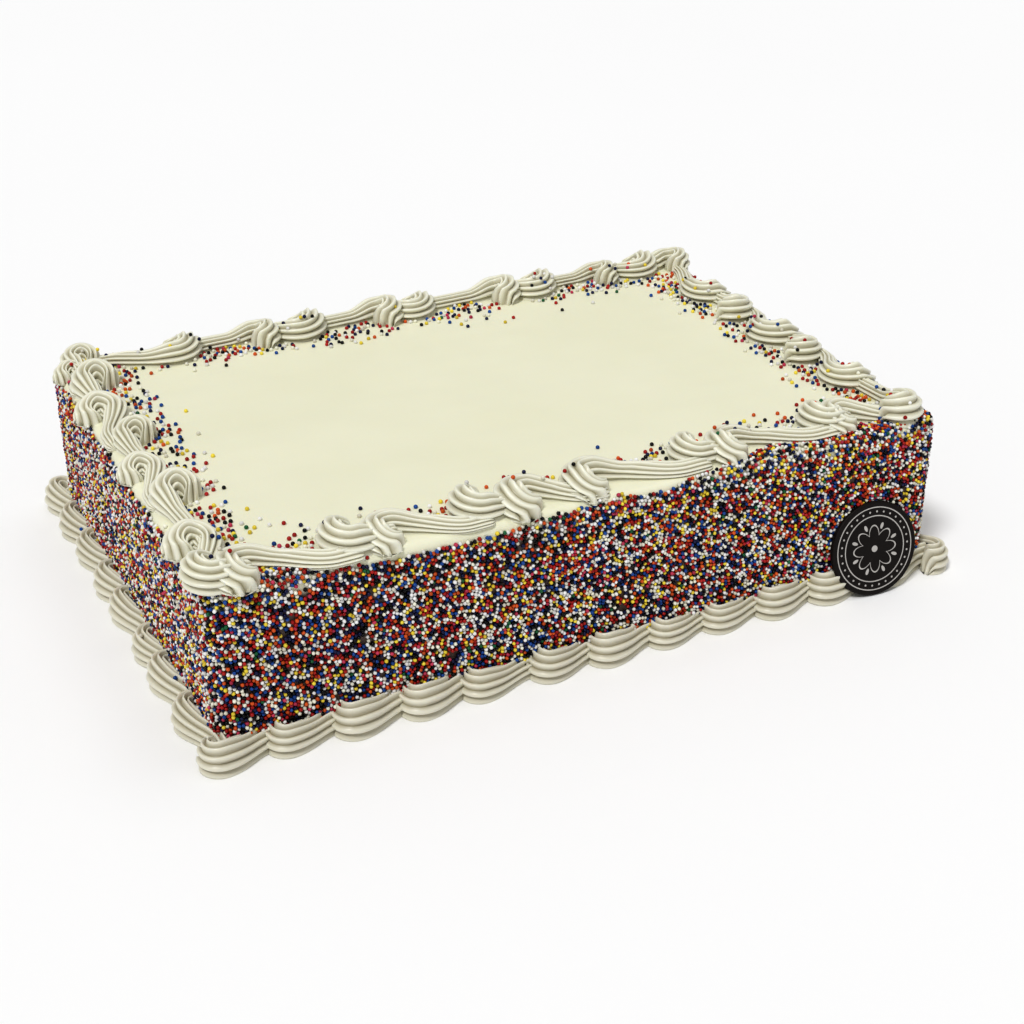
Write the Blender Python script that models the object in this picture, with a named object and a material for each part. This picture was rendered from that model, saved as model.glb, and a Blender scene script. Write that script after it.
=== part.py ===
"""Iced sheet cake with fused sprinkles, two piped shell borders and a chocolate disc.

Units are metres, +Z is up. The origin is the middle of the cake's flat base. +X runs along
the long front wall from left to right, and +Y runs from the front wall to the back wall.
"""
import math
import random
from collections import namedtuple

import bmesh
import bpy
from mathutils import Matrix, Vector

# Iced block
LENGTH = 0.311
WIDTH = 0.217
HEIGHT = 0.069
CORNER_ROUND = 0.010
TOP_ROUND = 0.0035

# Gap between two pieces that touch, and how far the block's cutter goes below the floor
GAP = 0.0003
BLOCK_CUTTER_SUNK = 0.02

# Sprinkles fused to the icing, in a band of heights on the walls and a band of insets on top
SPRINKLE_RADIUS = 0.00085
SPRINKLE_SINK = 0.0003
SPRINKLE_SPACING = 0.006
WALL_SPRINKLES = 82
WALL_BAND = (0.0185, 0.0550)
WALL_CORNER_CLEAR = 0.014
TOP_SPRINKLES = 23
TOP_BAND = (0.030, 0.044)

# A piped shell is a rope with star-tip ridges that curls round an eye and runs out in a tail.
# Its curl radius, half width, half height and the height of its middle are those at the head.
Shell = namedtuple("Shell", "curl half_width half_height middle tail droop steps")
TOP_SHELL = Shell(0.0052, 0.0063, 0.0060, 0.0048, 0.55, 0.0022, (5, 3))
FOOT_SHELL = Shell(0.0036, 0.0050, 0.0070, 0.0056, 0.80, 0.0, (4, 2))
# A station is a place on the rope's path: a plan point, the way left of the path, how full the
# rope is, how far left it may reach and how far it hangs down.
Station = namedtuple("Station", "spot left fill room droop")
RIDGES = 5
FLUTE = 0.24
UNDERSIDE = ((235.0, 1.2), (305.0, 1.2))
CURL_START = 60.0
CURL_END = 270.0
NOSE_SHARE = 0.5
NOSE_LENGTH = 0.22
TAPER_SHARE = 0.6
TAIL_SWING = 0.0028
SWING_SHARE = 0.75
INNER_ROOM = 0.9
TAIL_ROOT = 0.0012
ROOT_SHARE = 0.86
OVERLAP = 0.007
SIZE_SPREAD = 0.08

# Middle line of the top border, by its corners: front left, front right, back right, back left
TOP_CORNERS = ((-0.1500, -0.1050), (0.1465, -0.0965), (0.1485, 0.0995), (-0.1500, 0.0995))

# Shells along each side of the top border, as distance from the side's first corner and as
# the side of the line where the curl starts: 1 inside and -1 outside. The eye of each kind is
# that far inward of the line.
EYE_INSETS = {1: 0.0062, -1: 0.0010}
FRONT_SHELLS = ((0.0114, -1), (0.0505, 1), (0.0659, -1), (0.1020, 1), (0.1215, -1), (0.150, -1),
                (0.197, 1), (0.2136, -1), (0.2590, 1), (0.2670, -1))
RIGHT_SHELLS = ((0.038, -1), (0.068, 1), (0.092, -1), (0.123, 1), (0.150, -1))
BACK_SHELLS = ((0.020, -1), (0.041, 1), (0.077, -1), (0.096, 1), (0.140, -1), (0.157, 1),
               (0.196, -1), (0.216, 1), (0.254, -1))
LEFT_SHELLS = ((0.009, -1), (0.0255, 1), (0.0542, -1), (0.0835, 1), (0.1136, -1), (0.1397, 1),
               (0.1776, -1))

# Bottom border: a row of shells along each wall, all curled from the wall outward
FOOT_PITCH = 0.0262
FOOT_OFFSET = 0.0014
FOOT_NUDGE = 0.12

# Chocolate disc that leans on the front wall
DISC_RADIUS = 0.020
DISC_THICKNESS = 0.0024
DISC_EDGE_ROUND = 0.0005
DISC_SIDES = 36
DISC_X = 0.122
DISC_FOOT_Y = -0.1200
DISC_LEAN = 12.7
DISC_YAW = -4.0
DISC_CLEARING = 0.012

# Limits for the triangles of each border, and the angle in radians below which faces merge
TOP_TRIANGLES = 4750
FOOT_TRIANGLES = 3550
FLAT_ANGLE = 0.01

SEED = 35


def clear_scene():
    for item in list(bpy.data.objects):
        bpy.data.objects.remove(item, do_unlink=True)


def new_collection(name):
    collection = bpy.data.collections.new(name)
    bpy.context.scene.collection.children.link(collection)
    return collection


def add_material(item, name, colour, roughness):
    material = bpy.data.materials.new(name)
    material.use_nodes = True
    shader = material.node_tree.nodes["Principled BSDF"]
    shader.inputs["Base Color"].default_value = (*colour, 1.0)
    shader.inputs["Roughness"].default_value = roughness
    shader.inputs["Metallic"].default_value = 0.0
    material.diffuse_color = (*colour, 1.0)
    item.data.materials.clear()
    item.data.materials.append(material)


def object_from(bm, name, collection):
    bmesh.ops.recalc_face_normals(bm, faces=bm.faces)
    if bm.calc_volume(signed=True) < 0:
        bmesh.ops.reverse_faces(bm, faces=bm.faces)
    mesh = bpy.data.meshes.new(name)
    bm.to_mesh(mesh)
    bm.free()
    item = bpy.data.objects.new(name, mesh)
    collection.objects.link(item)
    return item


def block(collection, name, grow, sunk):
    """The iced block: a box with rounded upright corners and a rounded top edge."""
    bm = bmesh.new()
    bmesh.ops.create_cube(bm, size=1.0)
    size = (LENGTH + 2 * grow, WIDTH + 2 * grow, HEIGHT + grow + sunk)
    bmesh.ops.scale(bm, vec=size, verts=bm.verts)
    bmesh.ops.translate(bm, vec=(0, 0, size[2] / 2 - sunk), verts=bm.verts)
    upright = [edge for edge in bm.edges if edge.calc_length() < WIDTH / 2]
    bmesh.ops.bevel(bm, geom=upright, offset=CORNER_ROUND, segments=4, profile=0.5, affect="EDGES")
    top = max(bm.faces, key=lambda face: face.calc_center_median().z)
    bmesh.ops.bevel(bm, geom=list(top.edges), offset=TOP_ROUND, segments=2, profile=0.5,
                    affect="EDGES")
    bmesh.ops.triangulate(bm, faces=bm.faces)
    return object_from(bm, name, collection)


def keep_evaluated(item):
    """Make the mesh that the object's modifiers give its own mesh."""
    graph = bpy.context.evaluated_depsgraph_get()
    result = bpy.data.meshes.new_from_object(item.evaluated_get(graph))
    item.modifiers.clear()
    item.data = result


def connected_verts(start, left):
    """All points of `left` that edges join to the start, taken out of `left`."""
    body = {start}
    growing = [start]
    while growing:
        vert = growing.pop()
        for edge in vert.link_edges:
            other = edge.other_vert(vert)
            if other in left:
                left.remove(other)
                body.add(other)
                growing.append(other)
    return body


def keep_main_body(item):
    """Drop the loose scraps that a Boolean leaves, and split the faces into triangles."""
    bm = bmesh.new()
    bm.from_mesh(item.data)
    left = set(bm.verts)
    bodies = []
    while left:
        bodies.append(connected_verts(left.pop(), left))
    main = max(bodies, key=len)
    scraps = [vert for vert in bm.verts if vert not in main]
    bmesh.ops.delete(bm, geom=scraps, context="VERTS")
    bmesh.ops.dissolve_limit(bm, angle_limit=FLAT_ANGLE, verts=bm.verts, edges=bm.edges)
    bmesh.ops.triangulate(bm, faces=bm.faces)
    bm.to_mesh(item.data)
    bm.free()


def unite(name, pieces, target):
    """Join loose pieces into one object by a single Boolean union on a collection."""
    others = new_collection(name + "_pieces")
    for piece in pieces[1:]:
        target.objects.unlink(piece)
        others.objects.link(piece)
    base = pieces[0]
    modifier = base.modifiers.new("union", "BOOLEAN")
    modifier.operation = "UNION"
    modifier.solver = "MANIFOLD"
    modifier.operand_type = "COLLECTION"
    modifier.collection = others
    keep_evaluated(base)
    for piece in pieces[1:]:
        bpy.data.objects.remove(piece, do_unlink=True)
    bpy.data.collections.remove(others)
    keep_main_body(base)
    base.name = name
    base.data.name = name
    return base


def cut(item, cutters):
    for cutter in cutters:
        modifier = item.modifiers.new("cut", "BOOLEAN")
        modifier.operation = "DIFFERENCE"
        modifier.solver = "MANIFOLD"
        modifier.object = cutter
    keep_evaluated(item)


def thin_out(item, triangles):
    """Bring a border down to its share of triangles, the smallest first."""
    modifier = item.modifiers.new("thin_out", "DECIMATE")
    modifier.ratio = min(1.0, triangles / len(item.data.polygons))
    keep_evaluated(item)


def smooth(share):
    share = min(max(share, 0.0), 1.0)
    return share * share * (3 - 2 * share)


def section():
    """Angle round the rope and reach of each point: ridges above, and a plain underside."""
    steps = 2 * (RIDGES - 1)
    ridged = [(math.pi * step / steps, 1 - FLUTE * (step % 2)) for step in range(steps + 1)]
    return ridged + [(math.radians(angle), reach) for angle, reach in UNDERSIDE]


def curl_path(shell):
    """Stations of the curl, round the eye at the origin from the +v side to the -v side.

    There the ridged section stops short of the eye, so that the rope never crosses itself.
    """
    path = []
    steps = shell.steps[0]
    for step in range(steps + 1):
        share = step / steps
        angle = math.radians(CURL_START + (CURL_END - CURL_START) * share)
        outward = Vector((math.cos(angle), math.sin(angle)))
        fill = NOSE_SHARE + (1 - NOSE_SHARE) * smooth(share / NOSE_LENGTH)
        droop = shell.droop * (1 - smooth(share))
        path.append(Station(shell.curl * outward, -outward, fill, INNER_ROOM * shell.curl, droop))
    return path


def tail_path(shell, length, end):
    """Stations of the tail, from inside the end of the curl across to end and out along +s."""
    start = Vector((-TAIL_ROOT, -shell.curl))
    path = [Station(start, Vector((0, 1)), ROOT_SHARE, INNER_ROOM * shell.curl, 0)]
    steps = shell.steps[1]
    for step in range(1, steps + 1):
        share = step / steps
        across = -shell.curl + (shell.curl + end) * smooth(share / SWING_SHARE)
        spot = Vector((length * share, across))
        ahead = (spot - path[-1].spot).normalized()
        fill = 1 + (shell.tail - 1) * smooth(share / TAPER_SHARE)
        path.append(Station(spot, Vector((-ahead.y, ahead.x)), fill, length, 0))
    return path


def place_ring(ring, station, shell, side):
    """Move one ring of points onto the rope's ridged section at a station of its path."""
    for vert, (around, reach) in zip(ring, section()):
        reach *= station.fill
        across = min(shell.half_width * reach * math.cos(around), station.room)
        height = shell.middle * station.fill - station.droop + shell.half_height * reach * math.sin(around)
        spot = station.spot + station.left * across
        vert.co = (spot.x, spot.y * side, height)


def next_ring(bm, ring):
    """Extrude a ring of points and return its copy in the same order."""
    members = set(ring)
    rim = {edge for vert in ring for edge in vert.link_edges if edge.other_vert(vert) in members}
    grown = bmesh.ops.extrude_edge_only(bm, edges=list(rim))["geom"]
    fresh = {item for item in grown if isinstance(item, bmesh.types.BMVert)}
    copies = []
    for vert in ring:
        copies += [edge.other_vert(vert) for edge in vert.link_edges if edge.other_vert(vert) in fresh]
    return copies


def rope(collection, path, shell, side, place):
    """A closed ridged rope along a path, mirrored where side is -1 and moved into place."""
    bm = bmesh.new()
    ring = bmesh.ops.create_circle(bm, cap_ends=True, segments=len(section()), radius=1.0)["verts"]
    place_ring(ring, path[0], shell, side)
    for station in path[1:]:
        ring = next_ring(bm, ring)
        place_ring(ring, station, shell, side)
    bm.faces.new(ring)
    caps = [face for face in bm.faces if len(face.verts) == len(ring)]
    bmesh.ops.poke(bm, faces=caps)
    bmesh.ops.triangulate(bm, faces=bm.faces)
    bmesh.ops.transform(bm, matrix=place, verts=bm.verts)
    return object_from(bm, "rope", collection)


def shell_ropes(collection, line_spot, height, onward, side, shell, inset):
    """Curl and tail of a shell beside a border's line, from one spot on it on towards the next.

    side is 1 to curl from the left. The eye is that far inset from the line.
    """
    inward = Vector((-onward.y, onward.x)).normalized()
    eye = line_spot + inward * inset
    place = Matrix.Translation((*eye, height)) @ Matrix.Rotation(math.atan2(onward.y, onward.x), 4, "Z")
    paths = (curl_path(shell), tail_path(shell, onward.length + OVERLAP, TAIL_SWING - inset * side))
    return [rope(collection, path, shell, side, place) for path in paths]


def resized(shell, draw):
    """The same shell a little larger or smaller, as piping by hand gives."""
    factor = draw.uniform(1 - SIZE_SPREAD, 1 + SIZE_SPREAD)
    return shell._replace(curl=shell.curl * factor, half_width=shell.half_width * factor,
                          half_height=shell.half_height * factor, middle=shell.middle * factor)


def top_border(collection, draw):
    """Alternating shells along the four sides of the top, and one round each corner."""
    spots = []
    for number, shells in enumerate((FRONT_SHELLS, RIGHT_SHELLS, BACK_SHELLS, LEFT_SHELLS)):
        start = Vector(TOP_CORNERS[number])
        ahead = (Vector(TOP_CORNERS[(number + 1) % 4]) - start).normalized()
        spots.append((start, 1))
        spots += [(start + ahead * distance, side) for distance, side in shells]
    pieces = []
    for index, (spot, side) in enumerate(spots):
        onward = spots[(index + 1) % len(spots)][0] - spot
        shell = resized(TOP_SHELL, draw)
        pieces += shell_ropes(collection, spot, HEIGHT, onward, side, shell, EYE_INSETS[side])
    return unite("top_border", pieces, collection)


def bottom_border(collection, draw):
    """A row of shells round the foot of the walls."""
    half_x = LENGTH / 2 + FOOT_OFFSET
    half_y = WIDTH / 2 + FOOT_OFFSET
    corners = [Vector(corner) for corner in ((-half_x, -half_y), (half_x, -half_y),
                                             (half_x, half_y), (-half_x, half_y))]
    spots = []
    for number, start in enumerate(corners):
        side = corners[(number + 1) % 4] - start
        count = round(side.length / FOOT_PITCH)
        spots.append(start)
        for step in range(1, count):
            share = (step + draw.uniform(-FOOT_NUDGE, FOOT_NUDGE)) / count
            spots.append(start + side * share)
    pieces = []
    for index, spot in enumerate(spots):
        onward = spots[(index + 1) % len(spots)] - spot
        shell = resized(FOOT_SHELL, draw)
        pieces += shell_ropes(collection, spot, 0.0, onward, 1, shell, 0.0)
    return unite("bottom_border", pieces, collection)


def disc(collection, name, grow, clearing):
    """The disc, on its edge and leaning back. A cutter also clears the way in front of it."""
    bm = bmesh.new()
    depth = DISC_THICKNESS + 2 * grow + clearing
    bmesh.ops.create_cone(bm, cap_ends=True, segments=DISC_SIDES, radius1=DISC_RADIUS + grow,
                          radius2=DISC_RADIUS + grow, depth=depth)
    flats = [face for face in bm.faces if len(face.verts) == DISC_SIDES]
    rims = [edge for face in flats for edge in face.edges]
    bmesh.ops.bevel(bm, geom=rims, offset=DISC_EDGE_ROUND, segments=1, profile=0.5,
                    affect="EDGES")
    bmesh.ops.triangulate(bm, faces=bm.faces)
    behind = depth / 2 - grow - DISC_THICKNESS
    bmesh.ops.translate(bm, vec=(0, DISC_RADIUS, behind), verts=bm.verts)
    lean = Matrix.Rotation(math.radians(90 - DISC_LEAN), 4, "X")
    yaw = Matrix.Rotation(math.radians(DISC_YAW), 4, "Z")
    foot_lift = DISC_THICKNESS * math.sin(math.radians(DISC_LEAN))
    foot = Matrix.Translation((DISC_X, DISC_FOOT_Y, foot_lift))
    bmesh.ops.transform(bm, matrix=foot @ yaw @ lean, verts=bm.verts)
    return object_from(bm, name, collection)


def floor_cutter(collection):
    bm = bmesh.new()
    bmesh.ops.create_cube(bm, size=1.0)
    bmesh.ops.scale(bm, vec=(2 * LENGTH, 2 * LENGTH, HEIGHT), verts=bm.verts)
    bmesh.ops.translate(bm, vec=(0, 0, -HEIGHT / 2), verts=bm.verts)
    return object_from(bm, "floor_cutter", collection)


def wall_spot(draw):
    """A point just inside one of the four walls, clear of the corners and both borders."""
    face = draw.choice((-1, 1))
    height = draw.uniform(*WALL_BAND)
    if draw.random() < LENGTH / (LENGTH + WIDTH):
        reach = LENGTH / 2 - WALL_CORNER_CLEAR
        return Vector((draw.uniform(-reach, reach), face * (WIDTH / 2 + SPRINKLE_SINK), height))
    reach = WIDTH / 2 - WALL_CORNER_CLEAR
    return Vector((face * (LENGTH / 2 + SPRINKLE_SINK), draw.uniform(-reach, reach), height))


def top_spot(draw):
    """A point on the top, in a band just inside the top border."""
    inset = draw.uniform(*TOP_BAND)
    half_x = LENGTH / 2 - inset
    half_y = WIDTH / 2 - inset
    face = draw.choice((-1, 1))
    along = draw.uniform(-1, 1)
    if draw.random() < LENGTH / (LENGTH + WIDTH):
        return Vector((along * half_x, face * half_y, HEIGHT + SPRINKLE_SINK))
    return Vector((face * half_x, along * half_y, HEIGHT + SPRINKLE_SINK))


def spread(count, draw, make_spot, clear_of):
    """Seeded spots, none so close to another that fused sprinkles could seal a hollow."""
    spots = []
    while len(spots) < count:
        spot = make_spot(draw)
        free = all((spot - other).length > SPRINKLE_SPACING for other in spots)
        if free and (spot - clear_of).length > 1.3 * DISC_RADIUS:
            spots.append(spot)
    return spots


def cake(collection, draw):
    """The iced block with its sprinkles."""
    pieces = [block(collection, "cake", 0.0, 0.0)]
    behind_disc = Vector((DISC_X, -WIDTH / 2, DISC_RADIUS))
    walls = spread(WALL_SPRINKLES, draw, wall_spot, behind_disc)
    tops = spread(TOP_SPRINKLES, draw, top_spot, behind_disc)
    for spot in walls + tops:
        bm = bmesh.new()
        bmesh.ops.create_icosphere(bm, subdivisions=1, radius=SPRINKLE_RADIUS)
        turn = Matrix.Rotation(draw.uniform(0, math.pi), 4, "Z") @ Matrix.Rotation(draw.random(), 4, "X")
        bmesh.ops.transform(bm, matrix=Matrix.Translation(spot) @ turn, verts=bm.verts)
        pieces.append(object_from(bm, "sprinkle", collection))
    return unite("cake", pieces, collection)


def main():
    draw = random.Random(SEED)
    clear_scene()
    parts = new_collection("sprinkle_cake")
    cutters = new_collection("cutters")

    iced = cake(parts, draw)
    upper = top_border(parts, draw)
    lower = bottom_border(parts, draw)
    medallion = disc(parts, "medallion", 0.0, 0.0)

    block_cutter = block(cutters, "block_cutter", GAP, BLOCK_CUTTER_SUNK)
    lower_cutters = [block_cutter, floor_cutter(cutters), disc(cutters, "disc_cutter", GAP, DISC_CLEARING)]
    for cutter in lower_cutters:
        cutter.hide_render = True
        cutter.display_type = "WIRE"
    thin_out(upper, TOP_TRIANGLES)
    thin_out(lower, FOOT_TRIANGLES)
    cut(upper, [block_cutter])
    cut(lower, lower_cutters)
    keep_main_body(upper)
    keep_main_body(lower)

    add_material(iced, "sprinkled_icing", (0.52, 0.42, 0.36), 0.5)
    add_material(upper, "piped_icing", (0.88, 0.86, 0.76), 0.5)
    add_material(lower, "piped_foot_icing", (0.88, 0.86, 0.78), 0.5)
    add_material(medallion, "dark_chocolate", (0.02, 0.01, 0.008), 0.4)


main()
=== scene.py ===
"""Looks of the sprinkle cake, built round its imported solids.

Metres, +Z up, origin in the middle of the cake's base, the long front wall towards -Y.
"""
import math
import random
from collections import namedtuple

import bmesh
import bpy
import numpy as np
from mathutils import Matrix, Vector
from mathutils.bvhtree import BVHTree


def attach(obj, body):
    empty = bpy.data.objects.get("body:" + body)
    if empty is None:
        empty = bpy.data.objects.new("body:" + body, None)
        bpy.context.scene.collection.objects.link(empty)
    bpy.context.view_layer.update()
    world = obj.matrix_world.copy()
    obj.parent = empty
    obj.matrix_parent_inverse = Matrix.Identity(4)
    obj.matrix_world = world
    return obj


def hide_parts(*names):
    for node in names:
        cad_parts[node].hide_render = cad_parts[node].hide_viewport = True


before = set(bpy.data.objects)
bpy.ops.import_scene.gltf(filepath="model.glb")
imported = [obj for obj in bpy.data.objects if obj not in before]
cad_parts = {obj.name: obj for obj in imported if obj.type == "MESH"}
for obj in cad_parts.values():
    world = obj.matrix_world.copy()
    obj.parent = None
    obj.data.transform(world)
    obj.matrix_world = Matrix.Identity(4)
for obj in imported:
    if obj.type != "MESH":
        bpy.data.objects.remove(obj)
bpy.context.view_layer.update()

# Iced block. Cuts across it give its top the points that wave: they start and stop these distances
# from its ends. LEVEL is how far below the top a point may be to wave too
LENGTH = 0.311
WIDTH = 0.217
HEIGHT = 0.069
CORNER_ROUND = 0.010
CORNER_SEGMENTS = 8
TOP_ROUND = 0.0035
TOP_SEGMENTS = 5
FIRST_CUT = 0.014
LAST_CUT = 0.012
CUT_STEP = 0.004
LEVEL = 0.0001
WELD = 1e-6

# Camera
CAMERA_PLACE = (-0.28752, -0.59607, 0.36451)
CAMERA_AZIMUTH = math.radians(-26.8389)
CAMERA_DOWN = math.radians(28.0786)
CAMERA_LENS = 60.303
CAMERA_FILM = 36.0
CAMERA_NEAR = 0.01

# Light: each sun's name, place, power and spread in degrees
WORLD_STRENGTH = 0.33
SUNS = (("key", (-0.65, -0.45, 1.2), 1.55, 12.0),
        ("top", (0.4, 0.1, 1.6), 0.45, 40.0))

# Floor
FLOOR_HALF = 30.0
FLOOR_COLOURS = ((0.93, 0.93, 0.93), (0.95, 0.95, 0.95))

# A piped shell: curl radius, half width and half height of the rope at the head, height of the
# rope's middle, shares of its size at the nose, at the curl's end and in the tail, distance over
# which it thins to the tail, how far inward of the border's line its eye is, the angle round the
# eye at which its first ridge starts, how much further round the last one does, and the share by
# which its outer side is lower
Shell = namedtuple("Shell", "curl half_width half_height middle nose waist tail thinning inset "
                   "start splay tilt")
TOP_HOOK = Shell(0.0064, 0.0080, 0.0078, 0.0032, 0.40, 0.80, 0.50, 0.014, 0.0022,
                 -20.0, 150.0, 0.76)
LEFT_HOOK = Shell(0.0056, 0.0078, 0.0078, 0.0032, 0.42, 0.80, 0.50, 0.014, -0.0004,
                  -40.0, 140.0, 0.30)
TOP_FAN = Shell(0.0046, 0.0074, 0.0084, 0.0034, 0.45, 0.80, 0.48, 0.013, 0.0062,
                -30.0, 140.0, 0.0)
FOOT_SHELL = Shell(0.0036, 0.0052, 0.0088, 0.0042, 0.80, 1.0, 0.82, 0.012, 0.0,
                   0.0, 140.0, 0.0)

# Ridges round a shell's rope, with the angle and the reach of each point below them
RIDGE_GAPS = 8
POINTS_A_GAP = 6
RIDGES_FROM = math.radians(-30.0)
RIDGES_TO = math.radians(210.0)
FLUTE = 0.31
CREST_POWER = 1.4
UNDERSIDE = ((235.0, 0.9), (270.0, 0.85), (305.0, 0.9))

# A shell's curl: where it ends, how long the claw and the rise at the start of each ridge are,
# how it swells from the nose, and how it opens from the eye
CURL_STEPS = 44
CURL_END = math.radians(270.0)
CLAW_LENGTH = 0.0022
RISE_LENGTH = 0.0030
EYE_RADIUS = 0.0012
EYE_SHARE = 0.6
EYE_GROWTH = 0.6
NOSE_GROWTH = 0.75
WAIST_FROM = 0.6
INNER_ROOM = 0.9

# A shell's tail: how far and how soon it swings under the next shell, and the shares of it over
# which it widens inward and closes
TAIL_STEPS = 30
TAIL_SWING = 0.0028
SWING_SHARE = 0.75
WIDENING = 0.3
CLOSING = 0.1
OVERLAP = 0.002

# How a shell sits, and how it differs from the others of its form
ROOTED = -0.0010
ROOT_DEPTH = -0.0030
SIZE_SPREAD = 0.08
MOST_LEAN = 0.12
SWELL = 0.05
SWELL_TURNS = 9
SWELL_SHIFT = 6

# Middle line of the top border by its corners, as in the part's source, and the shells along each
# side: distance from the side's first corner, side where the curl starts and, if not 1, their size
TOP_CORNERS = ((-0.1500, -0.1050), (0.1465, -0.0965), (0.1485, 0.0995), (-0.1500, 0.0995))
SIDES = ("front", "right", "back", "left")
SHELL_ROWS = (
    ((0.0114, -1), (0.0505, 1), (0.0659, -1), (0.1020, 1), (0.1215, -1), (0.150, -1),
     (0.197, 1), (0.2136, -1), (0.2590, 1), (0.2670, -1)),
    ((0.038, -1), (0.068, 1), (0.092, -1), (0.123, 1), (0.150, -1)),
    ((0.020, -1), (0.041, 1), (0.077, -1), (0.096, 1), (0.140, -1), (0.157, 1),
     (0.196, -1), (0.216, 1), (0.254, -1)),
    ((0.009, -1, 0.78), (0.0255, 1), (0.0542, -1), (0.0835, 1), (0.1136, -1, 0.78), (0.1397, 1),
     (0.1776, -1)))
FOOT_PITCH = 0.0262
FOOT_OFFSET = 0.0014
FOOT_NUDGE = 0.12

# Where a shell goes: its eye's place, the side where its curl starts, the number of the cake's
# side, its form and its size
Spot = namedtuple("Spot", "place curl_side side_number shell size")

# Waves by their weight, length and seed: of the spread top, of the sprinkles' upper limit, of how
# thin they lie on the walls and of how the loose ones clump
CROSSED_WAVES = 6
WAVE_PEAK = 3.5
WAVE_RANGE = (0.7, 1.5)
TOP_WAVES = ((0.00022, 0.06, 3), (0.00012, 0.02, 4))
LIMIT_WAVES = ((0.0012, 0.03, 11), (0.0006, 0.008, 12))
THIN_WAVES = ((0.6, 0.020, 13), (0.7, 0.007, 14))
CLUMP_WAVES = ((0.7, 0.022, 21), (0.6, 0.008, 22))

# Round sprinkles: radius and its spread, how they are packed and pushed apart on the walls, how
# far out of the icing they stand there, in radii, and how high a loose one rests
BALL = 0.00084
BALL_SPREAD = 0.05
BALL_SPACING = 0.00156
WALL_PACKING = 0.88
PACKING_ROUNDS = 24
BALLS_A_CELL = 4
PUSH = 0.9
TINY = 1e-12
HAIR = 1e-9
UPRIGHT = 0.9
OUT_FROM = 0.1
OUT_TO = 1.1
RESTING = 0.7
KINDS = {
    "white": ((0.95, 0.93, 0.89), 0.185),
    "ivory": ((0.85, 0.79, 0.66), 0.13),
    "black": ((0.003, 0.003, 0.004), 0.13),
    "navy": ((0.008, 0.011, 0.055), 0.10),
    "blue": ((0.012, 0.070, 0.29), 0.10),
    "red": ((0.38, 0.014, 0.012), 0.14),
    "orange": ((0.62, 0.100, 0.016), 0.085),
    "yellow": ((0.88, 0.64, 0.060), 0.095),
    "pink": ((0.50, 0.045, 0.10), 0.030),
    "green": ((0.014, 0.12, 0.045), 0.012),
}

# Upper part of a ball that sits in the icing, in shares of its radius
SET_SIDES = 7
SET_RINGS = 4
SET_CUT = -0.5
SET_RIM = 0.5
SET_BASE = -0.25

# Where the walls hold sprinkles: up to a limit under the top edge, which on the front wall dips
# by a depth about a place over a width, and rises by a height from a place over a length
SKIN_LOW = 0.004
SKIN_HIGH = HEIGHT + 0.012
LIMIT = HEIGHT - 0.002
FRONT_LIMIT = HEIGHT - 0.0015
FRONT_STRIP = 0.012
FACING = 0.5
DIP = (0.0030, -0.070, 0.035)
RISES = ((0.011, 0.030, 0.06), (0.0075, -0.090, -0.014))
THINNEST = 1.45

# Loose sprinkles on the top: the lines of the border that they lie along, and for each side the
# distance from that line at which they get fewer, how soon, and how many there are
LOOSE_TRIES = 44000
LOOSE_SPACING = 2.1 * BALL
LOOSE_ODDS = 0.5
FRONT_LINE = -0.106
FRONT_SLANT = 0.0105
FRONT_SPAN = 0.296
RIGHT_LINE = 0.1475
BACK_LINE = 0.0995
LEFT_LINE = -0.149
LOOSE_REACH = {"front": (0.013, 0.0026, 3.2), "right": (0.0135, 0.0030, 3.8),
               "back": (0.013, 0.0036, 2.4), "left": (0.0155, 0.0036, 1.3)}
UNDER_SHELLS = 0.004
UNDER_SHELLS_ODDS = 0.02
CLUMP_BASE = 0.55
CLUMP_GAIN = 0.9
CLUMP_MOST = 1.6
TOP_SLACK = 0.001
ON_SHELL = 0.0015
ON_SHELL_SHARE = 0.05
DROP_FROM = HEIGHT + 0.03

# Sprinkles that fell on the bottom border
FOOT_REACH = 0.007
FOOT_TRIES = 260
WALL_ROOM = 2 * BALL
DISC_ROOM = 4 * BALL
STEEPEST = 0.3

# Sugar: how much of a ball's tint is its own, the rest being mottle, and what its colour is
# multiplied by at the darkest and the lightest tint
OWN_TINT = 0.75
DARKEST = 0.62
LIGHTEST = 1.25
LIFT = 0.01
SUGAR_ROUGHNESS = 0.16
SUGAR_UNEVENNESS = 0.15

# Buttercream: its shader, its sheen, the heights of its relief, and its colours, deep and pale; on
# piped icing the deep colour is painted shade in the grooves
ICING_SHADER = {"Subsurface Weight": 0.1, "Subsurface Scale": 0.002,
                "Subsurface Radius": (1.0, 0.8, 0.5), "Specular IOR Level": 0.4}
SPREAD_ROUGHNESS = 0.5
PIPED_ROUGHNESS = 0.33
UNEVENNESS = 0.16
GRAIN_HEIGHT = 0.00003
STREAK_HEIGHT = 0.00012
STREAK_SCALES = (16.0, 130.0, 16.0)
STREAK_TURN = (0.0, 0.0, 0.3)
SPREAD_COLOURS = ((0.81, 0.80, 0.60), (0.83, 0.82, 0.63))
TOP_GROOVE_SHADE_AND_CREST = ((0.34, 0.30, 0.17), (0.87, 0.86, 0.72))
# The foot's icing is darker all over than the top's, painted shade, besides the painted shade in its
# grooves
FOOT_SHADED_GROOVE_AND_CREST = ((0.31, 0.27, 0.165), (0.78, 0.755, 0.63))

# How pale the icing is: where the spread icing's noise starts to matter and over what span, and for
# piped icing the shares of noise and of crest, the crest's power and what is taken off. The crest's
# share paints shade into the grooves
DRIFT_FROM = 0.35
DRIFT_SPAN = 0.3
DRIFT_SHARE = 0.3
CREST_SHARE = 1.05
CREST_EASE = 0.7
SHADE = 0.20

# Painted shade on the icing between the sprinkles: its colour, how high up the walls it goes, and over
# what height it fades
GAP_SHADE = (0.09, 0.060, 0.048)
GAP_SHADE_TOP = 0.060
GAP_SHADE_FADE = 0.003

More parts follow.
